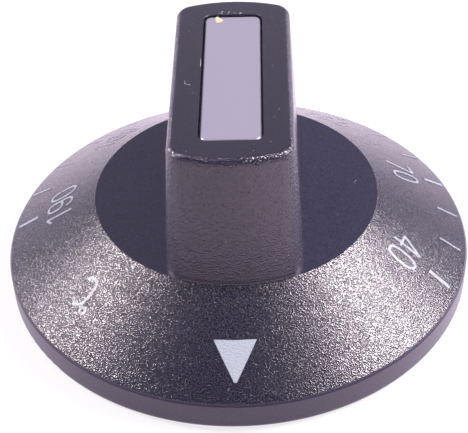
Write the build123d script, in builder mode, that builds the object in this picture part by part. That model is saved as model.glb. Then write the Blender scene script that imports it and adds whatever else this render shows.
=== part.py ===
"""A skirted thermostat knob: one plastic moulding, the inlay in its grip and its shaft spring."""

import os
from math import atan2, degrees, radians, tan

from build123d import *

os.makedirs("parts", exist_ok=True)

# Driving dimensions, in millimetres and degrees.
# The origin is the centre of the plane the rim stands on. +Z runs up the shaft axis, the grip
# bar lies along Y and the knob's pointer faces -Y.

# Skirt: a straight rim, a cone and a flat dial
rim_diameter = 70.0
rim_height = 4.7
rim_edge_radius = 1.0
crease_bevel = 0.27
dial_diameter = 42.2
dial_height = 13.7
skirt_wall = 2.2

# Grip bar, whose ends stand a hair outside the edge of the dial
grip_overhang = 0.15
grip_height = 34.4
grip_width = 19.4
grip_draft = 3.6
grip_corner_radius = 4.0
grip_top_radius = 1.0
grip_wall = 2.2

# Inlay plate and the room around it in its pocket
inlay_width = 8.1
inlay_length = 30.6
inlay_thickness = 1.2
inlay_corner_radius = 1.0
inlay_bevel = 0.2
inlay_clearance = 0.28
inlay_recess = 0.2

# Thermostat shaft that the socket takes: a round bar with one flat
shaft_diameter = 6.0
shaft_across_flat = 4.6
shaft_clearance = 0.1

# Hub and ribs inside the hollow; recesses are measured up from the rim plane
hub_diameter = 12.0
hub_recess = 1.0
socket_depth = 24.0
socket_lead = 0.5
rib_count = 4
rib_thickness = 1.6
rib_recess = 4.0

# Leaf spring that presses on the shaft's flat
spring_length = 14.0
spring_width = 3.6
spring_thickness = 0.4
spring_bite = 0.3
spring_foot = 1.8
spring_clearance = 0.1
slot_depth = 1.3

# Sizes that follow from the driving dimensions
rim_radius = rim_diameter / 2
dial_radius = dial_diameter / 2
cone_angle = degrees(atan2(dial_height - rim_height, rim_radius - dial_radius))
draft_slope = tan(radians(grip_draft))

# The inside of the skirt runs parallel to its outside, one wall away
core_rim_radius = rim_radius - skirt_wall
core_crease_height = rim_height - skirt_wall * tan(radians(90 - cone_angle) / 2)
core_dial_radius = dial_radius - skirt_wall * tan(radians(cone_angle) / 2)
core_dial_height = dial_height - skirt_wall

# The grip is drawn where it is rooted, half a wall down in the dial
grip_end_radius = dial_radius + grip_overhang
grip_root = dial_height - skirt_wall / 2
grip_root_width = grip_width + 2 * draft_slope * (dial_height - grip_root)
grip_root_radius = grip_end_radius + draft_slope * (dial_height - grip_root)
grip_root_corner = grip_corner_radius + draft_slope * (dial_height - grip_root)

# The grip's hollow follows its outside, one wall away
core_grip_radius = grip_end_radius - grip_wall
core_grip_width = grip_width - 2 * grip_wall
core_grip_corner = grip_corner_radius - grip_wall

pocket_width = inlay_width + 2 * inlay_clearance
pocket_length = inlay_length + 2 * inlay_clearance
pocket_corner_radius = inlay_corner_radius + inlay_clearance
pocket_floor = grip_height - inlay_recess - inlay_thickness
core_ceiling = pocket_floor - grip_wall

socket_radius = shaft_diameter / 2 + shaft_clearance
socket_flat = shaft_across_flat - shaft_diameter / 2 + shaft_clearance
slot_back = socket_flat + slot_depth
slot_width = spring_width + 2 * spring_clearance
slot_length = spring_length + spring_clearance

# The leaf's middle line: its two ends near the back of the slot, its crest past the flat
leaf_end = slot_back - spring_clearance - spring_thickness / 2
leaf_crest = socket_flat - spring_bite + spring_thickness / 2
leaf_foot_height = hub_recess - spring_thickness / 2
leaf_tip_height = hub_recess + spring_length - spring_thickness / 2
leaf_crest_height = (leaf_foot_height + leaf_tip_height) / 2


def bar_outline(end_radius, width, corner_radius):
    """A bar along Y: straight sides, ends that follow one circle about the shaft axis, round corners."""
    with BuildSketch(mode=Mode.PRIVATE) as outline:
        Circle(end_radius)
        Rectangle(width, 2 * end_radius, mode=Mode.INTERSECT)
        fillet(outline.vertices(), corner_radius)
    add(outline.sketch_local)


# The core is the steel that shapes the knob's hollow. What is cut out of it, the hub and the
# ribs, stays solid in the moulding and runs up to the ceiling, so that the core can be drawn
# out downwards.
with BuildPart() as core:
    with BuildSketch(Plane.XY.offset(core_dial_height)):
        bar_outline(core_grip_radius, core_grip_width, core_grip_corner)
    extrude(amount=core_ceiling - core_dial_height, taper=grip_draft)

    with BuildSketch(Plane.XZ):
        with BuildLine():
            Polyline(
                (0, 0),
                (core_rim_radius, 0),
                (core_rim_radius, core_crease_height),
                (core_dial_radius, core_dial_height),
                (0, core_dial_height),
                close=True,
            )
        make_face()
    revolve(axis=Axis.Z)

    with BuildSketch(Plane.XY.offset(hub_recess)):
        Circle(hub_diameter / 2)
    extrude(amount=core_ceiling - hub_recess, mode=Mode.SUBTRACT)

    with BuildSketch(Plane.XY.offset(rib_recess)):
        with PolarLocations(rim_radius / 2, rib_count):
            Rectangle(rim_radius, rib_thickness)
    extrude(amount=core_ceiling - rib_recess, mode=Mode.SUBTRACT)

# The moulding: a drafted bar on a cone, hollowed by the core
with BuildPart() as knob_body:
    with BuildSketch(Plane.XY.offset(grip_root)):
        bar_outline(grip_root_radius, grip_root_width, grip_root_corner)
    extrude(amount=grip_height - grip_root, taper=grip_draft)
    top_edges = knob_body.faces().sort_by(Axis.Z)[-1].edges()
    fillet(top_edges, grip_top_radius)

    with BuildSketch(Plane.XZ) as skirt_section:
        with BuildLine():
            Polyline(
                (0, 0),
                (rim_radius, 0),
                (rim_radius, rim_height),
                (dial_radius, dial_height),
                (0, dial_height),
                close=True,
            )
        make_face()
        rim_corners = skirt_section.vertices().group_by(Axis.X)[-1].sort_by(Axis.Y)
        fillet(rim_corners[0], rim_edge_radius)
        crease = skirt_section.vertices().sort_by_distance((rim_radius, rim_height))[0]
        chamfer(crease, crease_bevel)
    revolve(axis=Axis.Z)

    add(core.part, mode=Mode.SUBTRACT)

    # Pocket for the inlay in the top of the grip
    with BuildSketch(Plane.XY.offset(grip_height)):
        RectangleRounded(pocket_width, pocket_length, pocket_corner_radius)
    extrude(amount=pocket_floor - grip_height, mode=Mode.SUBTRACT)

    # Shaft socket with one flat, and its slanted mouth
    with BuildSketch(Plane.XY.offset(hub_recess)):
        Circle(socket_radius)
        with Locations((0, socket_flat - socket_radius)):
            Rectangle(2 * socket_radius, 2 * socket_radius, mode=Mode.INTERSECT)
    extrude(amount=socket_depth, mode=Mode.SUBTRACT)
    socket_mouth = knob_body.edges(Select.LAST).group_by(Axis.Z)[0]
    chamfer(socket_mouth, socket_lead)

    # Slot beside the flat, open to the socket and at the hub's foot
    with BuildSketch(Plane.XY.offset(hub_recess)):
        with Locations((0, slot_back - slot_depth)):
            Rectangle(slot_width, slot_depth, align=(Align.CENTER, Align.MIN))
    extrude(amount=slot_length, mode=Mode.SUBTRACT)

knob_body.part.label = "knob_body"
export_step(knob_body.part, "parts/knob_body.step")

# The inlay lies on the pocket's floor, its top a little below the grip's
with BuildPart() as grip_inlay:
    with BuildSketch(Plane.XY.offset(pocket_floor)):
        RectangleRounded(inlay_width, inlay_length, inlay_corner_radius)
    extrude(amount=inlay_thickness)
    show_face = grip_inlay.faces().sort_by(Axis.Z)[-1]
    chamfer(show_face.edges(), inlay_bevel)

grip_inlay.part.label = "grip_inlay"
export_step(grip_inlay.part, "parts/grip_inlay.step")

# The spring is a bowed leaf, with a foot bent out under the hub that stops it at the slot's mouth
with BuildPart() as shaft_spring:
    with BuildSketch(Plane.YZ):
        with BuildLine() as leaf:
            Line((slot_back + spring_foot, leaf_foot_height), (leaf_end, leaf_foot_height))
            ThreePointArc(
                (leaf_end, leaf_foot_height),
                (leaf_crest, leaf_crest_height),
                (leaf_end, leaf_tip_height),
            )
        trace(leaf.line, spring_thickness)
    extrude(amount=spring_width / 2, both=True)

shaft_spring.part.label = "shaft_spring"
export_step(shaft_spring.part, "parts/shaft_spring.step")
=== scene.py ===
# %% [markdown]
# A thermostat knob, dressed for a studio picture.
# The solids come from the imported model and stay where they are. This file gives them their
# finishes, adds what has no solid of its own, the ink and the traces of use, and sets up a
# table, lights and a camera.

# %% Load the solids
from math import atan2, cos, degrees, pi, radians, sin, tan

import bmesh
import bpy
import numpy as np
from mathutils import Matrix, Vector


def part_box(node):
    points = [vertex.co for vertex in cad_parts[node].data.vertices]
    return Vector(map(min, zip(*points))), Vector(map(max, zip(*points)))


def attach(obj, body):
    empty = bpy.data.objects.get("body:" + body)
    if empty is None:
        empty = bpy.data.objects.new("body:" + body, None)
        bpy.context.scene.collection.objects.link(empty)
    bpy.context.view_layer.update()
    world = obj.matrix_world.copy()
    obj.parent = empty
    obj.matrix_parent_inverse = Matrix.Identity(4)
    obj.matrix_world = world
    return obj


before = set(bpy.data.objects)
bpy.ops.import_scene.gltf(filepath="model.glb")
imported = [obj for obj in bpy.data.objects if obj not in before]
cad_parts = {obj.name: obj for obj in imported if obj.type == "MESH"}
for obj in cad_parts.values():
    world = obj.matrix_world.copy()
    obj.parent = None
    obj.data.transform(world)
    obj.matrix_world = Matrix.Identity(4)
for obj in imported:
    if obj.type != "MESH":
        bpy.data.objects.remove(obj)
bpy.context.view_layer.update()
MM = 0.001
print("solids:", sorted(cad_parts))

# %% [markdown]
# Every place on this knob follows from a few sizes. The skirt is a straight rim, a cone and a
# flat dial, and the grip bar stands on the dial. The outer radius and the full height are read
# from the solid, and the rest are the sizes the moulding was drawn with.

# %% Sizes of the moulding
body_low, body_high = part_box("knob_body")
RIM_RADIUS = body_high.x
KNOB_HEIGHT = body_high.z
RIM_HEIGHT = 4.7 * MM
CREASE_BEVEL = 0.27 * MM
DIAL_RADIUS = 21.1 * MM
DIAL_HEIGHT = 13.7 * MM
GRIP_HALF = 9.7 * MM
GRIP_DRAFT = radians(3.6)
CONE_ANGLE = atan2(DIAL_HEIGHT - RIM_HEIGHT, RIM_RADIUS - DIAL_RADIUS)
print("knob stands", round((body_high.z - body_low.z) / MM, 2), "mm high")
print("cone rises at", round(degrees(CONE_ANGLE), 2), "degrees")

# %% [markdown]
# The scale is printed on the cone: tick marks, numbers, a unit and the pointer. Ink has a
# thickness, so each mark is a very thin slab that follows the cone. A mark could be cut from a
# flat text object and wrapped, but a pen stroke is simpler: a line drawn on the unrolled cone,
# with a width, carried onto the cone by one formula. Every mark, the pointer too, is then the
# same kind of ribbon.

# %% From the unrolled cone to the knob
INK_HEIGHT = 0.025 * MM
INK_ROOT = 0.06 * MM
PRINT_SHIFT = 0.8 * MM
ACROSS = 9


def on_cone(turn, slope, height):
    """A point on the cone: turn goes round the shaft from the front towards +X, slope climbs
    from the crease along the cone, and height stands off along the cone's normal."""
    reach = RIM_RADIUS - slope * cos(CONE_ANGLE) + height * sin(CONE_ANGLE)
    rise = RIM_HEIGHT + slope * sin(CONE_ANGLE) + height * cos(CONE_ANGLE)
    return np.stack([reach * np.sin(turn), -reach * np.cos(turn), rise], axis=-1)


def ribbon(path, half_width, turn, slope, level):
    """A closed ribbon on the cone. The path's points (x to the right, y outwards, in metres)
    get a left and a right side, half_width away along the path's normal. Across each station
    the top runs from left to right at the ink's height and the underside runs back in the
    plastic. x becomes an arc about the shaft, clockwise from above, and y goes down the slope.
    The pad that carried the print was set a little too far back, so all of it moves along y."""
    along = np.gradient(path, axis=0)
    along /= np.linalg.norm(along, axis=1, keepdims=True)
    normal = np.stack([-along[:, 1], along[:, 0]], axis=-1)
    side = np.linspace(1, -1, ACROSS)
    side = np.concatenate([side, side[::-1]])
    height = np.repeat([INK_HEIGHT + level, -INK_ROOT], ACROSS)
    flat = path[:, None, :] + half_width[:, None, None] * side[None, :, None] * normal[:, None, :]
    radius = RIM_RADIUS - (slope - flat[..., 1]) * cos(CONE_ANGLE)
    turn = turn - flat[..., 0] / radius
    x, y = radius * np.sin(turn), -radius * np.cos(turn) + PRINT_SHIFT
    climb = (RIM_RADIUS - np.hypot(x, y)) / cos(CONE_ANGLE)
    return on_cone(np.arctan2(x, -y), climb, height[None, :])


print("ink stands", INK_HEIGHT / MM, "mm proud, and the print sits", PRINT_SHIFT / MM, "mm off centre")

# %% [markdown]
# The pen's strokes. Straight runs and arcs of ellipses are enough for a plain narrow alphabet:
# a nought is one ellipse with full shoulders, a nine is a bowl with a tail. A stroke's ends are
# round, because the half width closes there like a half circle. The strokes of one mark overlap,
# and each lies a hair higher than the one before, so that no two tops lie in one plane.

# %% Strokes of the pen
STATIONS = 41
ROUND_STATIONS = 6
FULLNESS = 2.5


def run(*points):
    """Straight runs from point to point, with stations spread evenly over the whole length."""
    points = np.array(points, float)
    lengths = np.r_[0, np.cumsum(np.linalg.norm(np.diff(points, axis=0), axis=1))]
    places = np.linspace(0, lengths[-1], STATIONS)
    return np.stack([np.interp(places, lengths, points[:, k]) for k in (0, 1)], axis=-1)


def arc(centre, radii, start, stop, fullness=2.0):
    """An arc of a superellipse: cosine and sine to the power 2 / fullness, times the two radii."""
    t = np.radians(np.linspace(start, stop, STATIONS))
    c, s = np.cos(t), np.sin(t)
    power = 2 / fullness
    return np.stack([
        centre[0] + radii[0] * np.sign(c) * np.abs(c) ** power,
        centre[1] + radii[1] * np.sign(s) * np.abs(s) ** power,
    ], axis=-1)


def round_ends(path, half):
    """Lengthens a path by half at both ends, and closes the half width there like a half circle."""
    steps = np.cos(np.linspace(0, pi / 2, ROUND_STATIONS))[:-1, None]
    first = path[0] - path[1]
    last = path[-1] - path[-2]
    head = path[0] + half * steps * first / np.linalg.norm(first)
    tail = path[-1] + half * steps[::-1] * last / np.linalg.norm(last)
    closing = half * np.sqrt(np.maximum(0, 1 - steps[:, 0] ** 2))
    width = np.concatenate([closing, np.full(len(path), half), closing[::-1]])
    return np.concatenate([head, path, tail]), width


GLYPHS = {
    "0": [arc((0, 0.5), (0.21, 0.5), 90, 450, FULLNESS)],
    "1": [run((-0.14, 0.82), (0.065, 1.0), (0.065, 0.0))],
    "3": [
        arc((-0.02, 0.76), (0.19, 0.24), 150, -90, FULLNESS),
        arc((-0.02, 0.26), (0.22, 0.26), 90, -150, FULLNESS),
    ],
    "4": [run((0.2, 0.26), (-0.24, 0.26), (0.09, 1.0), (0.1, 0.0))],
    "6": [
        arc((0, 0.29), (0.21, 0.29), 90, 450, FULLNESS),
        arc((0, 0.55), (0.21, 0.45), 210, 30, FULLNESS),
    ],
    "7": [run((-0.2, 1.0), (0.18, 1.0), (-0.08, 0.0))],
    "9": [
        arc((0, 0.71), (0.21, 0.29), -90, 270, FULLNESS),
        arc((0, 0.45), (0.21, 0.45), 30, -150, FULLNESS),
    ],
    "C": [arc((0, 0.5), (0.27, 0.5), 48, 312, FULLNESS)],
    "o": [arc((0, 0), (1, 1), 90, 450)],
}
print("pen marks drawn:", " ".join(GLYPHS))

# %% [markdown]
# Sixteen ticks stand 13.5 degrees apart, one for every ten degrees of heat, the first one a
# little apart. Every third one is heavier and carries its number. The numbers read clockwise
# with their tops outwards, so they stand upright when the knob is turned to them.

# %% The printed scale
FIRST_NUMBER, NUMBER_STEP, TICKS, NUMBERED = 40, 10, 16, 3
FIRST_TICK, TICK_STEP, FIRST_GAP = radians(66.0), radians(13.5), radians(0.9)
TICK_FOOT, TICK_TOP = 1.1 * MM, 4.9 * MM
TICK_HALF, NUMBERED_TICK_HALF = 0.18 * MM, 0.29 * MM
DIGIT_HEIGHT, DIGIT_TOP, DIGIT_PITCH = 4.65 * MM, 7.1 * MM, 2.78 * MM
POINTER_TIP, POINTER_BASE = 2.2 * MM, 8.0 * MM
POINTER_TIP_HALF, POINTER_HALF = 0.18 * MM, 2.95 * MM
UNIT_TURN, UNIT_HEIGHT, UNIT_TOP = radians(-49.7), 4.4 * MM, 6.05 * MM
RING_TURN, RING_RADIUS, RING_TOP = radians(-46.2), 0.46 * MM, 5.4 * MM
PEN_HALF, RING_HALF = 0.20 * MM, 0.17 * MM
LEVEL_STEP = 0.002 * MM
END_STEP = 0.0002 * MM

patches = []


def flat_mark(start, stop, half_start, half_stop, turn):
    """A straight mark down the slope, as wide at each end as it is told. Its square ends close
    over one very short step, where the width drops to nothing."""
    path = run((0, -start), (0, -stop))
    width = np.linspace(half_start, half_stop, STATIONS)
    path = np.concatenate([path[:1], path, path[-1:]])
    path[0, 1] += END_STEP
    path[-1, 1] -= END_STEP
    width = np.concatenate([[0], width, [0]])
    patches.append(ribbon(path, width, turn, 0.0, 0.0))


def write(text, turn, top, size, pitch=0.0, pen=PEN_HALF):
    """A line of marks centred on turn: each one sits a pitch further clockwise."""
    for place, mark in enumerate(text):
        shift = (place - (len(text) - 1) / 2) * pitch
        for layer, stroke in enumerate(GLYPHS[mark]):
            path, width = round_ends(stroke * size + [shift, 0], pen)
            patches.append(ribbon(path, width, turn, top + size, layer * LEVEL_STEP))


for k in range(TICKS):
    turn = FIRST_TICK + k * TICK_STEP - (FIRST_GAP if k == 0 else 0)
    numbered = k % NUMBERED == 0
    half = NUMBERED_TICK_HALF if numbered else TICK_HALF
    flat_mark(TICK_FOOT, TICK_TOP, half, half, turn)
    if numbered:
        write(str(FIRST_NUMBER + k * NUMBER_STEP), turn, DIGIT_TOP, DIGIT_HEIGHT, DIGIT_PITCH)
flat_mark(POINTER_TIP, POINTER_BASE, POINTER_TIP_HALF, POINTER_HALF, 0.0)
write("C", UNIT_TURN, UNIT_TOP, UNIT_HEIGHT)
write("o", RING_TURN, RING_TOP, RING_RADIUS, pen=RING_HALF)
print("strokes on the cone:", len(patches))

# %% [markdown]
# Each stroke is now a grid: stations along the path, and a closed loop of points at every
# station. A mesh could be skinned over curves instead, but the grid already has every point.
# Quads join neighbouring stations, and merging doubled points closes the ends.

# %% From grids to one mesh
MERGE_DISTANCE = 1e-7


def grid_faces(stations, loop):
    """Quads between neighbouring stations of a closed loop of points, as an array of indices."""
    a = np.arange(stations - 1)[:, None] * loop + np.arange(loop)[None, :]
    b = np.arange(stations - 1)[:, None] * loop + (np.arange(loop)[None, :] + 1) % loop
    return np.stack([a, b, b + loop, a + loop], axis=-1).reshape(-1, 4)


def closed_mesh(name, grids):
    """One mesh from several tubes of stations by loop points. Doubled points are merged, which
    closes the tubes' ends, and the faces are turned outwards."""
    points, faces, used = [], [], 0
    for grid in grids:
        stations, loop = grid.shape[:2]
        points.append(grid.reshape(-1, 3))
        faces.append(grid_faces(stations, loop) + used)
        used += stations * loop
    mesh = bpy.data.meshes.new(name)
    mesh.from_pydata(np.concatenate(points).tolist(), [], np.concatenate(faces).tolist())
    work = bmesh.new()
    work.from_mesh(mesh)
    bmesh.ops.remove_doubles(work, verts=work.verts, dist=MERGE_DISTANCE)
    bmesh.ops.recalc_face_normals(work, faces=work.faces)
    work.to_mesh(mesh)
    work.free()
    piece = bpy.data.objects.new(name, mesh)
    bpy.context.scene.collection.objects.link(piece)
    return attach(piece, "root")


scale_print = closed_mesh("scale_print", patches)
print("printed scale:", len(scale_print.data.polygons), "faces")

# %% [markdown]
# Finishes are sums of simple fields: a radius, a height, a noise. Written with nodes alone, such
# a sum is hard to read. So a socket is wrapped in a small class whose operators add the Math
# nodes, and a mask reads like the formula that it is.

# %% A socket that reads like a number
class Signal:
    """One output socket. Operators on it add Math nodes and give a new Signal."""

    def __init__(self, tree, socket):
        self.tree = tree
        self.socket = socket

    def math(self, operation, *values, clamp=False):
        """A new Math node with these values or links on its sockets."""
        settings = {"operation": operation, "use_clamp": clamp}
        return signal(self.tree, "ShaderNodeMath", settings, dict(enumerate(values)))

    def __add__(self, other):
        return self.math("ADD", self, other)

    __radd__ = __add__

    def __sub__(self, other):
        return self.math("SUBTRACT", self, other)

    def __rsub__(self, other):
        return self.math("SUBTRACT", other, self)

    def __mul__(self, other):
        return self.math("MULTIPLY", self, other)

    __rmul__ = __mul__

    def __truediv__(self, other):
        return self.math("DIVIDE", self, other)

    def __abs__(self):
        return self.math("ABSOLUTE", self)

    def root(self):
        return self.math("SQRT", self)

    def clip(self):
        return self.math("ADD", self, 0.0, clamp=True)

    def ramp(self, low, high):
        """0 below low, 1 above high, and a smooth step between; low may be the larger one."""
        sockets = {"Value": self, "From Min": low, "From Max": high}
        return signal(self.tree, "ShaderNodeMapRange", {"interpolation_type": "SMOOTHSTEP"}, sockets)


def wire(tree, node, sockets):
    """Sets each named socket of a node: a Signal is linked to it, anything else is its value."""
    for name, value in sockets.items():
        if isinstance(value, Signal):
            tree.links.new(value.socket, node.inputs[name])
        else:
            node.inputs[name].default_value = value


def add_node(tree, kind, settings, sockets):
    """One node of any kind: its settings first, then a value or a link for each named socket."""
    made = tree.nodes.new(kind)
    for name, value in settings.items():
        setattr(made, name, value)
    wire(tree, made, sockets)
    return made


def signal(tree, kind, settings, sockets, output=0):
    """The named or numbered output of a new node, as a Signal."""
    return Signal(tree, add_node(tree, kind, settings, sockets).outputs[output])


print("made Signal, wire, add_node and signal")

# %% [markdown]
# The steel that moulded the knob was spark-eroded, which leaves a grain of tiny hills and pits on
# the plastic. The grain could be real relief, but its hills are a fifth of a millimetre wide and
# it would take millions of faces, so it is a height for a bump: noise for the hills, and cells
# for the pits with their sharp rims.

# %% Spark grain
HILL_PERIOD, HILL_SHARE, HILL_DISTORTION = 0.175 * MM, 0.6, 0.5
PIT_PERIOD, PIT_SHARE = 0.22 * MM, 0.4


def on_object(tree):
    """The shaded point in the object's own coordinates, as a vector."""
    return signal(tree, "ShaderNodeTexCoord", {}, {}, "Object")


def noise(tree, points, period, detail=1.0, distortion=0.0):
    """Smooth noise from 0 to 1 whose features are about one period apart."""
    return signal(tree, "ShaderNodeTexNoise", {}, {
        "Vector": points, "Scale": 1 / period, "Detail": detail, "Distortion": distortion})


def cells(tree, points, spacing):
    """Distance to the nearest of many scattered middles a spacing apart, as a share of the spacing."""
    return signal(tree, "ShaderNodeTexVoronoi", {"feature": "F1"}, {
        "Vector": points, "Scale": 1 / spacing})


def spark_grain(tree, coarser=1.0):
    """The grain's height from 0 to 1: a share of soft hills plus a share of sharp-rimmed pits."""
    hills = noise(tree, on_object(tree), HILL_PERIOD * coarser, distortion=HILL_DISTORTION)
    pits = cells(tree, on_object(tree), PIT_PERIOD * coarser)
    return hills * HILL_SHARE + pits * PIT_SHARE


print("grain:", HILL_PERIOD / MM, "mm hills and", PIT_PERIOD / MM, "mm pits")

# %% [markdown]
# Years of use left pale flecks behind the plate's pocket, a curled scratch beside it and some
# dust. They could be painted as an image, but a short list of lines is easier to read and move.
# A fleck is every point near enough to its line, broken up by noise. A speck of dust is the
# middle of a cell.

# %% Flecks and dust
# Start x, start y, stop x, stop y and half width of each fleck from above, in millimetres
FLECKS = (
    (-2.1, 16.0, -1.5, 16.5, 0.07),
    (-1.75, 15.9, -1.35, 16.1, 0.06),
    (-0.75, 15.9, -0.55, 16.4, 0.09),
    (0.15, 16.0, 0.5, 15.95, 0.08),
    (1.0, 15.8, 1.3, 16.05, 0.08),
    (-4.42, 3.7, -4.42, 1.7, 0.05),
    (-6.53, -1.5, -6.45, -2.4, 0.05),
    (-6.45, -2.4, -5.72, -2.75, 0.05),
    (6.2, -12.9, 6.25, -12.9, 0.08),
    (17.55, 0.61, 18.06, 1.55, 0.05),
)
FLECK_BREAKS = 0.25 * MM
DUST_SPACING, DUST_SHARE = 1.1 * MM, 0.7


def split(tree, vector):
    """The x, y and z of a vector."""
    parts = add_node(tree, "ShaderNodeSeparateXYZ", {}, {0: vector})
    return [Signal(tree, output) for output in parts.outputs]


def fleck(x, y, start_x, start_y, stop_x, stop_y, half):
    """1 inside a short mark seen from above: the points nearer than half to a straight line. The
    nearest point of the line lies at the share of its length that the point projects to."""
    along_x, along_y = (stop_x - start_x) * MM, (stop_y - start_y) * MM
    from_x, from_y = x - start_x * MM, y - start_y * MM
    share = ((from_x * along_x + from_y * along_y) / (along_x ** 2 + along_y ** 2)).clip()
    off_x, off_y = from_x - share * along_x, from_y - share * along_y
    return (off_x * off_x + off_y * off_y).root().ramp(half * MM, half * MM / 2)


def wear(tree):
    """All light marks together: the flecks on the two level faces, and dust everywhere."""
    x, y, z = split(tree, on_object(tree))
    level = z.ramp(KNOB_HEIGHT - 0.3 * MM, KNOB_HEIGHT - 0.1 * MM)
    level = level + abs(z - DIAL_HEIGHT).ramp(0.1 * MM, 0.05 * MM)
    flecks = sum(fleck(x, y, *ends) for ends in FLECKS) * level
    broken = noise(tree, on_object(tree), FLECK_BREAKS, 2.0).ramp(0.35, 0.6)
    dust = cells(tree, on_object(tree), DUST_SPACING).ramp(0.055, 0.03)
    return (flecks * broken + dust * DUST_SHARE).clip()


print("flecks:", len(FLECKS))

# %% [markdown]
# The grain isn't the same all over. It is fine and deep on the cone, coarser and softer on the
# grip, and nearly gone on the dial and the rim. Each zone could be a material of its own with
# hard borders, but a mask worked out from the radius and the height can fade, and it can follow
# the grain where the grain ends.

# %% Zones of the moulding
RAGGED = 0.25 * MM
GRIP_CORNER = 14.0 * MM


def plastic_zones(tree, grain):
    """Masks from 0 to 1. A point is on the cone if its height is the cone's at its radius, and
    the cone's ragged borders move in and out with the grain. The grip's faces lean in by the
    draft, so that lean is added back before a point is compared with the grip's foot."""
    x, y, z = split(tree, on_object(tree))
    radius = (x * x + y * y).root()
    ragged = radius + (grain - 0.5) * RAGGED
    above_cone = z - (DIAL_HEIGHT - (radius - DIAL_RADIUS) * tan(CONE_ANGLE))
    cone = abs(above_cone).ramp(0.5 * MM, 0.3 * MM)
    cone = cone * ragged.ramp(RIM_RADIUS - CREASE_BEVEL * 0.6, RIM_RADIUS - CREASE_BEVEL)
    cone = cone * ragged.ramp(DIAL_RADIUS - 0.05 * MM, DIAL_RADIUS + 0.05 * MM)
    lean = (z - DIAL_HEIGHT) * tan(GRIP_DRAFT)
    corner = (abs(x) + lean).ramp(GRIP_HALF - 1.4 * MM, GRIP_HALF - 0.6 * MM)
    return {
        "cone": cone,
        "rim": z.ramp(RIM_HEIGHT, RIM_HEIGHT - CREASE_BEVEL),
        "grip": z.ramp(DIAL_HEIGHT + 0.2 * MM, DIAL_HEIGHT + 1.0 * MM),
        "corner": corner * (abs(y) + lean).ramp(GRIP_CORNER, GRIP_CORNER + 1.0 * MM),
        "brow": z.ramp(KNOB_HEIGHT - 1.3 * MM, KNOB_HEIGHT - 0.9 * MM),
        "rubbed": z.ramp(KNOB_HEIGHT - 0.08 * MM, KNOB_HEIGHT - 0.01 * MM),
        # The cone's right front, where the large right lamp lights into the pits: there they get less
        # painted shade, a painted highlight.
        "right_lamp_lit": x.ramp(8 * MM, 20 * MM) * y.ramp(2 * MM, -6 * MM),
    }


print("zones: rim to", RIM_HEIGHT / MM, "mm, cone to", DIAL_HEIGHT / MM, "mm, then the grip")

# %% [markdown]
# On the grip the grain is deepest along the top edges and at the corners, and hands have rubbed
# it down on top. Two bump nodes could stand one after the other, but one is enough: the heights
# of both grains are added up, each as deep as its zone says.

# %% Relief of the plastic
CONE_GRAIN, RIM_GRAIN, SMOOTH_GRAIN = 0.071 * MM, 0.012 * MM, 0.013 * MM
GRIP_GRAIN = 0.11 * MM
BROW_DEEPER, CORNER_DEEPER, RUBBED_DOWN = 0.62, 0.5, 1.22


def bump(tree, height):
    """A normal tilted by a height in metres."""
    return signal(tree, "ShaderNodeBump", {}, {"Height": height, "Strength": 1.0, "Distance": 1.0})


def plastic_relief(tree, zone, grain, grip_grain):
    """The moulding's normal. A grain's height is the grain times its depth, and the depth is a
    sum over the zones, each weighted by its mask."""
    height = grain * (SMOOTH_GRAIN + zone["cone"] * CONE_GRAIN + zone["rim"] * RIM_GRAIN)
    depth = 1 + zone["brow"] * BROW_DEEPER - zone["rubbed"] * RUBBED_DOWN
    depth = depth + zone["corner"] * (1 - zone["brow"]) * CORNER_DEEPER
    return bump(tree, height + grip_grain * zone["grip"] * depth * GRIP_GRAIN)


print("grain is", CONE_GRAIN / MM, "mm deep on the cone and", GRIP_GRAIN / MM, "mm on the grip")

# %% [markdown]
# Pits shade themselves, which a bump can't do. So a second shader, duller and nearly black, is
# mixed in where the grain is low as painted shade, and a little of it on the rim as painted shade,
# most where the rim is seen face on. At the cone's right front the pits get less of it, a painted
# highlight where the large right lamp lights into them. Seen flat, hills hide their pits, and the
# black fades.

# %% Dull pits and painted shade
PIT_BLACK = (0.004, 0.003, 0.009, 1)
PIT_ROUGHNESS, PIT_SPECULAR = 0.36, 0.25
# Shares of the dull shader: on the cone and grip the pits' shade, less at the cone's right front as
# painted light from the right lamp, and on the rim painted shade.
CONE_PITS, RIGHT_LAMP_PIT_LIGHT, GRIP_PITS, RIM_PAINTED_SHADE = 0.84, 0.36, 0.12, 0.25
FLAT_VIEW_LOSS = 0.7


def edge_on(tree):
    """How flat a face is seen: 0 from straight ahead, 1 along the face."""
    return signal(tree, "ShaderNodeLayerWeight", {}, {"Blend": 0.5}, "Facing")


def pit_share(tree, zone, grain, grip_grain):
    """How much painted shade a point gets: each grain's low part in its zone, less where it is seen
    flat and at the cone's right front, where the right lamp lights the pits, and the rim's painted
    shade, strongest where the rim is seen face on."""
    # At the cone's right front the pits get less painted shade: painted light from the large right
    # lamp.
    pits = grain.ramp(0.54, 0.43) * zone["cone"] * (CONE_PITS - zone["right_lamp_lit"] * RIGHT_LAMP_PIT_LIGHT)
    pits = pits + grip_grain.ramp(0.52, 0.41) * zone["grip"] * GRIP_PITS
    flat_view = edge_on(tree).ramp(0.45, 0.85)
    # The rim's share is painted shade, darkest where the rim is seen face on and mirrors the table's
    # shadow.
    return pits * (1 - flat_view * FLAT_VIEW_LOSS) + zone["rim"] * (1 - flat_view) * RIM_PAINTED_SHADE


def pit_shader(tree, normal):
    """The shader of the pits' walls, with the same relief as the plastic around them."""
    return signal(tree, "ShaderNodeBsdfPrincipled", {}, {
        "Base Color": PIT_BLACK,
        "Roughness": PIT_ROUGHNESS,
        "Specular IOR Level": PIT_SPECULAR,
        "Normal": normal,
    })


print("pits take", CONE_PITS, "of the low grain on the cone and", GRIP_PITS, "on the grip")

# %% [markdown]
# The moulding is charcoal plastic with a violet cast, bluest where it is smooth and paler where
# hands rubbed it. One Principled shader does its shine. The tones could be painted on the faces,
# but the zones already say where each one belongs.

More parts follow.
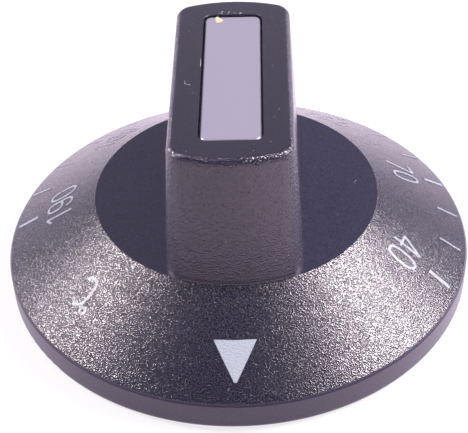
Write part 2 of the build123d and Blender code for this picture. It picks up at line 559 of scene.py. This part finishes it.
# %% Charcoal plastic
SMOOTH_TONE, SMOOTH_DEEP = (0.0186, 0.0178, 0.0525, 1), (0.0042, 0.0038, 0.016, 1)
GRAINED_TONE, RUBBED_TONE = (0.0070, 0.0062, 0.024, 1), (0.0145, 0.0132, 0.026, 1)
FLECK_GREY = (0.42, 0.39, 0.45, 1)
PLASTIC_IOR, PLASTIC_TINT = 1.75, (1.0, 0.94, 1.0, 1)
PLASTIC_BLOOM, BLOOM_TINT = 0.05, (0.95, 0.82, 1.0, 1)
SMOOTH_ROUGHNESS, CONE_POLISH, GRIP_POLISH = 0.34, 0.13, 0.14
GRIP_COARSER = 1.3


def blend(tree, factor, first, second):
    """A colour that goes from first to second as the factor goes from 0 to 1."""
    made = add_node(tree, "ShaderNodeMix", {"data_type": "RGBA"}, {0: factor, 6: first, 7: second})
    return Signal(tree, made.outputs[2])


def new_material(name):
    """A material with one Principled shader, and its tree."""
    material = bpy.data.materials.new(name)
    material.use_nodes = True
    tree = material.node_tree
    return material, tree, tree.nodes["Principled BSDF"]


def mix_surface(tree, factor, first, second):
    """Makes the material's surface of two shaders, mixed by the factor."""
    mixed = signal(tree, "ShaderNodeMixShader", {}, {0: factor, 1: first, 2: second})
    wire(tree, tree.nodes["Material Output"], {"Surface": mixed})


def dress(node, material):
    """Gives a solid its finish."""
    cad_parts[node].data.materials.clear()
    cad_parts[node].data.materials.append(material)


def charcoal_plastic():
    """The moulding's finish: a tone for each zone, the wear over it, and the painted shade of the pits
    and the rim mixed in.
    """
    material, tree, shader = new_material("grained_plastic")
    grain, grip_grain = spark_grain(tree), spark_grain(tree, GRIP_COARSER)
    zone = plastic_zones(tree, grain)
    normal = plastic_relief(tree, zone, grain, grip_grain)
    smooth = blend(tree, grip_grain.ramp(0.35, 0.6), SMOOTH_DEEP, SMOOTH_TONE)
    tone = blend(tree, (zone["cone"] + zone["grip"]).clip(), smooth, GRAINED_TONE)
    tone = blend(tree, zone["rubbed"], tone, RUBBED_TONE)
    wire(tree, shader, {
        "Base Color": blend(tree, wear(tree), tone, FLECK_GREY),
        "IOR": PLASTIC_IOR,
        "Specular Tint": PLASTIC_TINT,
        "Sheen Weight": PLASTIC_BLOOM,
        "Sheen Tint": BLOOM_TINT,
        "Roughness": SMOOTH_ROUGHNESS - zone["cone"] * CONE_POLISH - zone["grip"] * GRIP_POLISH,
        "Normal": normal,
    })
    dull = pit_share(tree, zone, grain, grip_grain)
    mix_surface(tree, dull, Signal(tree, shader.outputs[0]), pit_shader(tree, normal))
    return material


dress("knob_body", charcoal_plastic())
print("plastic on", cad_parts["knob_body"].name)

# %% [markdown]
# The ink is a thin bluish white. It lies on the grain and takes its shape, so it has the same
# bump, and it is thinner in the pits. The pointer got the most ink and the unit the least. Seen
# flat, the gloss hides it, so there it fades to the plastic's tone.

# %% Scale ink
INK_WHITE, INK_THIN = (0.336, 0.365, 0.441, 1), (0.13, 0.13, 0.18, 1)
INK_ROUGHNESS = 0.3
PIT_THINNER, POINTER_THICKER, MARK_THINNER, UNIT_THINNER = 0.75, 0.45, 0.12, 0.35
FLAT_VIEW_FADE = 0.65
POINTER_SIDE, POINTER_REAR = 4 * MM, -26 * MM
UNIT_SIDE, UNIT_REAR = -14 * MM, -9 * MM


def scale_ink():
    """Ink that follows the cone's grain, with masks for the pointer and the unit."""
    material, tree, shader = new_material("scale_ink")
    x, y = split(tree, on_object(tree))[:2]
    grain = spark_grain(tree)
    pointer = abs(x).ramp(POINTER_SIDE, POINTER_SIDE - 0.5 * MM)
    pointer = pointer * y.ramp(POINTER_REAR, POINTER_REAR - 0.5 * MM)
    unit = x.ramp(UNIT_SIDE, UNIT_SIDE - 1 * MM) * y.ramp(UNIT_REAR, UNIT_REAR - 1 * MM)
    thin = grain.ramp(0.52, 0.40) * (PIT_THINNER - pointer * POINTER_THICKER)
    thin = thin + (1 - pointer) * MARK_THINNER + unit * UNIT_THINNER
    ink = blend(tree, thin.clip(), INK_WHITE, INK_THIN)
    faded = edge_on(tree).ramp(0.66, 0.84) * FLAT_VIEW_FADE
    wire(tree, shader, {
        "Base Color": blend(tree, faded, ink, GRAINED_TONE),
        "IOR": PLASTIC_IOR,
        "Roughness": INK_ROUGHNESS,
        "Normal": bump(tree, grain * CONE_GRAIN),
    })
    return material


scale_print.data.materials.append(scale_ink())
print("ink on", scale_print.name)

# %% [markdown]
# The plate in the grip is satin silver grey, and the spring in the hub is bright steel strip.
# Both were rolled, which leaves faint lines along them. The lines could be an anisotropic shine,
# but a noise stretched along one axis also shows close up.

# %% Rolled metal
PLATE_GREY, STEEL_GREY = (0.366, 0.340, 0.452, 1), (0.55, 0.55, 0.57, 1)


def rolled_metal(name, colour, metallic, stretch, period, roughness, relief):
    """Metal whose lines are a noise of one period with its axes stretched. The noise takes the
    roughness from its first value up by its second, and lifts the surface by the relief."""
    material, tree, shader = new_material(name)
    stretched = signal(tree, "ShaderNodeMapping", {}, {"Vector": on_object(tree), "Scale": stretch})
    lines = noise(tree, stretched, period, 2.0)
    wire(tree, shader, {
        "Base Color": colour,
        "Metallic": metallic,
        "Roughness": roughness[0] + lines * roughness[1],
        "Normal": bump(tree, lines * relief),
    })
    return material


dress("grip_inlay", rolled_metal(
    "satin_plate", PLATE_GREY, 0.6, (1, 0.06, 1), 0.12 * MM, (0.36, 0.08), 0.002 * MM))
dress("shaft_spring", rolled_metal(
    "spring_steel", STEEL_GREY, 1.0, (1, 1, 0.05), 0.1 * MM, (0.22, 0.16), 0.003 * MM))
print("rolled metal on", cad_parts["grip_inlay"].name, "and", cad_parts["shaft_spring"].name)

# %% [markdown]
# A crumb of old glue sits on the plate's rear edge, cream in the middle and brown around it. It
# could be sculpted, but it is less than two millimetres wide, so a flat lump with a wavy outline
# will do: one profile, carried round its middle.

# %% Glue crumb
CRUMB_PLACE = (-2.1 * MM, 14.35 * MM)
CRUMB_RADIUS, CRUMB_HEIGHT, CRUMB_ROOT = 0.78 * MM, 0.15 * MM, 0.02 * MM
GLUE_BROWN, GLUE_CREAM = (0.20, 0.13, 0.07, 1), (0.60, 0.53, 0.40, 1)
GLUE_FULL, BLOTCH_PERIOD, BLOTCH_BROWNER = 0.06 * MM, 0.3 * MM, 0.6
GLUE_ROUGHNESS, BLOTCH_ROUGHER = 0.4, 0.2
AROUND, BELOW, ABOVE = 48, 8, 12
plate_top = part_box("grip_inlay")[1].z


def crumb():
    """A lump: its radius waves with the angle, and its height falls with the square of the way
    out. The profile runs from the middle of the underside round the edge to the middle on top."""
    angle = np.linspace(0, 2 * pi, AROUND, endpoint=False)[None, :]
    out = np.concatenate([np.linspace(0, 1, BELOW), np.linspace(1, 0, ABOVE)])[:, None]
    top = np.concatenate([np.zeros(BELOW), np.ones(ABOVE)])[:, None]
    wave = 1 + 0.22 * np.cos(2 * angle + 2.6) + 0.16 * np.cos(3 * angle) + 0.08 * np.cos(7 * angle)
    reach = CRUMB_RADIUS * out * wave
    dome = top * (1 - out ** 2) * CRUMB_HEIGHT * (1 + 0.25 * out * np.cos(3 * angle + 1))
    x = CRUMB_PLACE[0] + reach * np.cos(angle)
    y = CRUMB_PLACE[1] + reach * np.sin(angle)
    return np.stack([x, y, plate_top - CRUMB_ROOT + dome], axis=-1)


def old_glue():
    """Dried glue: cream where it is thick, brown where it thins out, with darker blotches."""
    material, tree, shader = new_material("old_glue")
    z = split(tree, on_object(tree))[2]
    thick = z.ramp(plate_top, plate_top + GLUE_FULL)
    blotch = noise(tree, on_object(tree), BLOTCH_PERIOD, 2.0).ramp(0.4, 0.65)
    wire(tree, shader, {
        "Base Color": blend(tree, thick * (1 - blotch * BLOTCH_BROWNER), GLUE_BROWN, GLUE_CREAM),
        "Roughness": GLUE_ROUGHNESS + blotch * BLOTCH_ROUGHER,
    })
    return material


glue_crumb = closed_mesh("glue_crumb", [crumb()])
glue_crumb.data.materials.append(old_glue())
print("glue crumb:", len(glue_crumb.data.polygons), "faces")

# %% [markdown]
# The table is white. Rays from the camera and from reflections see it nearly at full white, with
# a share of the real shading left in, so that the knob's shadow stays. Real paper this bright
# would take stronger lamps, which would wash out the plastic. For reflections painted light makes
# it brighter on the right, behind and beside the knob, and that draws the grip's edges and the
# right of the rim.

# %% Table
TABLE_SIZE = 3.0
TABLE_DROP = 0.05 * MM
TABLE_WHITE, CAMERA_WHITE = (0.74, 0.665, 0.74, 1), (1.06, 1.06, 1.06, 1)
GLOSS_WHITE, GLOSS_PAINTED_BRIGHT = (1.19, 1.03, 1.24, 1), (2.48, 2.16, 2.54, 1)
CAMERA_SHARE, GLOSS_SHARE = 0.74, 0.8
RIGHT_LIFT, BEHIND_LIFT, BESIDE_LIFT = 0.43, 0.34, 0.5


def painted_table_light(tree):
    """How much painted light reflections find on the table: a sum of the three bright places' masks."""
    x, y = split(tree, on_object(tree))[:2]
    behind = y.ramp(0.0, 35 * MM)
    beside = abs(x).ramp(25 * MM, 40 * MM) * y.ramp(0.0, 20 * MM) * y.ramp(60 * MM, 40 * MM)
    lift = x.ramp(0.0, 30 * MM) * (1 - behind) * RIGHT_LIFT + behind * BEHIND_LIFT
    return (lift + beside * BESIDE_LIFT).clip()


def table_white():
    """White paper, with a glow mixed in for rays from the camera and from reflections: even for the
    camera, and with painted light for reflections.
    """
    material, tree, shader = new_material("table_white")
    wire(tree, shader, {"Base Color": TABLE_WHITE, "Roughness": 1.0, "Specular IOR Level": 0.0})
    path = add_node(tree, "ShaderNodeLightPath", {}, {})
    rays = ("Is Camera Ray", "Is Glossy Ray", "Is Transmission Ray")
    camera, gloss, through = (Signal(tree, path.outputs[name]) for name in rays)
    # Reflections see painted light on the table: brighter on the right, behind and beside the knob.
    mirrored = blend(tree, painted_table_light(tree), GLOSS_WHITE, GLOSS_PAINTED_BRIGHT)
    glow = signal(tree, "ShaderNodeEmission", {}, {"Color": blend(tree, gloss, CAMERA_WHITE, mirrored)})
    share = (camera + through).clip() * CAMERA_SHARE + gloss * GLOSS_SHARE
    mix_surface(tree, share, Signal(tree, shader.outputs[0]), glow)
    return material


def table():
    """A square sheet under the knob, as a grid of two by two points."""
    side = np.array([-TABLE_SIZE / 2, TABLE_SIZE / 2])
    across, along = np.meshgrid(side, side)
    points = np.stack([across.ravel(), along.ravel(), np.full(4, -TABLE_DROP)], axis=-1)
    mesh = bpy.data.meshes.new("table")
    mesh.from_pydata(points.tolist(), [], [(0, 1, 3, 2)])
    mesh.materials.append(table_white())
    sheet = bpy.data.objects.new("table", mesh)
    bpy.context.scene.collection.objects.link(sheet)


table()
print("table", TABLE_SIZE, "m wide")

# %% [markdown]
# Two softboxes stand left and right of the knob, a little behind it. The cone mirrors them in two
# places only, and there its grain sparkles: sharply on the left, where the lamp is small, and
# softly on the right, where it is large. A small lamp overhead draws the sparks along the grip's
# front edge and scatters a few over the front of the cone.

# %% Lamps
LIGHT_DISTANCE = 0.6
LAMP_COLOUR = (1.0, 0.935, 0.925)


def softbox(name, direction, size, radiance):
    """A square lamp that looks at the knob. Its power is its radiance times pi times its area."""
    lamp = bpy.data.lights.new(name, "AREA")
    lamp.shape = "SQUARE"
    lamp.size = size
    lamp.energy = radiance * pi * size ** 2
    lamp.color = LAMP_COLOUR
    holder = bpy.data.objects.new(name, lamp)
    towards = Vector(direction).normalized()
    facing = towards.to_track_quat("Z", "Y").to_matrix().to_4x4()
    holder.matrix_world = Matrix.Translation(towards * LIGHT_DISTANCE) @ facing
    bpy.context.scene.collection.objects.link(holder)


softbox("softbox_left", (-0.74, 0.14, 0.66), 0.09, 148.0)
softbox("softbox_right", (0.68, 0.08, 0.73), 0.20, 51.0)
softbox("lamp_above", (0.0, 0.02, 1.0), 0.04, 66.0)
print("lamps", LIGHT_DISTANCE, "m away")

# %% [markdown]
# The room is bright low down at the back and sides, and dim overhead and in front, so the dial
# and the front of the cone stay dark. A picture of a studio could be wrapped round the scene, but
# two smooth steps of the direction give the same light. The camera itself sees plain white.

# %% Room
ROOM_TINT, GLOW_TINT = (0.98, 0.95, 1.06, 1), (0.945, 0.92, 1.12, 1)
ROOM_DIM, ROOM_GLOW = 0.275, 0.86
WHITE = (1, 1, 1, 1)


def room():
    """The room's brightness: full near the horizon, less with height, less in front."""
    world = bpy.data.worlds.new("room")
    world.use_nodes = True
    bpy.context.scene.world = world
    tree = world.node_tree
    direction = signal(tree, "ShaderNodeTexCoord", {}, {}, "Generated")
    y, z = split(tree, direction)[1:]
    low_glow = z.ramp(0.54, 0.12) * y.ramp(-0.9, 0.2)
    tint = blend(tree, low_glow, ROOM_TINT, GLOW_TINT)
    camera = signal(tree, "ShaderNodeLightPath", {}, {}, "Is Camera Ray")
    strength = (ROOM_DIM + low_glow * ROOM_GLOW) * (1 - camera) + camera
    wire(tree, tree.nodes["Background"], {
        "Color": blend(tree, camera, tint, WHITE), "Strength": strength})


room()
bpy.context.scene.view_settings.view_transform = "Standard"
print("room from", ROOM_DIM, "to", ROOM_DIM + ROOM_GLOW)

# %% [markdown]
# The camera stands in front and looks down at about forty degrees. Its place, its lens and its
# slight roll were found by fitting the knob's edges to the picture.

# %% Camera
IMAGE_WIDTH = 468
FOCAL_PIXELS = 1247.53
SENSOR_WIDTH = 36.0
CAMERA_DISTANCE = 190.625 * MM
CAMERA_RISE = radians(40.287)
CAMERA_TURN = radians(1.983)
CAMERA_ROLL = radians(-2.217)
CAMERA_NEAREST = 10 * MM
AIM = Vector((-0.463, 0.0, 8.207)) * MM

level_back = Vector((sin(CAMERA_TURN), -cos(CAMERA_TURN), 0))
back = level_back * cos(CAMERA_RISE) + Vector((0, 0, sin(CAMERA_RISE)))
right = Vector((cos(CAMERA_TURN), sin(CAMERA_TURN), 0))
up = back.cross(right)
rolled_right = right * cos(CAMERA_ROLL) + up * sin(CAMERA_ROLL)
rolled_up = up * cos(CAMERA_ROLL) - right * sin(CAMERA_ROLL)
turned = Matrix((rolled_right, rolled_up, back)).transposed().to_4x4()

lens = bpy.data.cameras.new("camera")
lens.sensor_fit = "HORIZONTAL"
lens.sensor_width = SENSOR_WIDTH
lens.lens = FOCAL_PIXELS / IMAGE_WIDTH * SENSOR_WIDTH
lens.clip_start = CAMERA_NEAREST
camera = bpy.data.objects.new("camera", lens)
camera.matrix_world = Matrix.Translation(AIM + back * CAMERA_DISTANCE) @ turned
bpy.context.scene.collection.objects.link(camera)
bpy.context.scene.camera = camera
print("lens", round(lens.lens, 2), "mm at", [round(v / MM, 1) for v in camera.location])
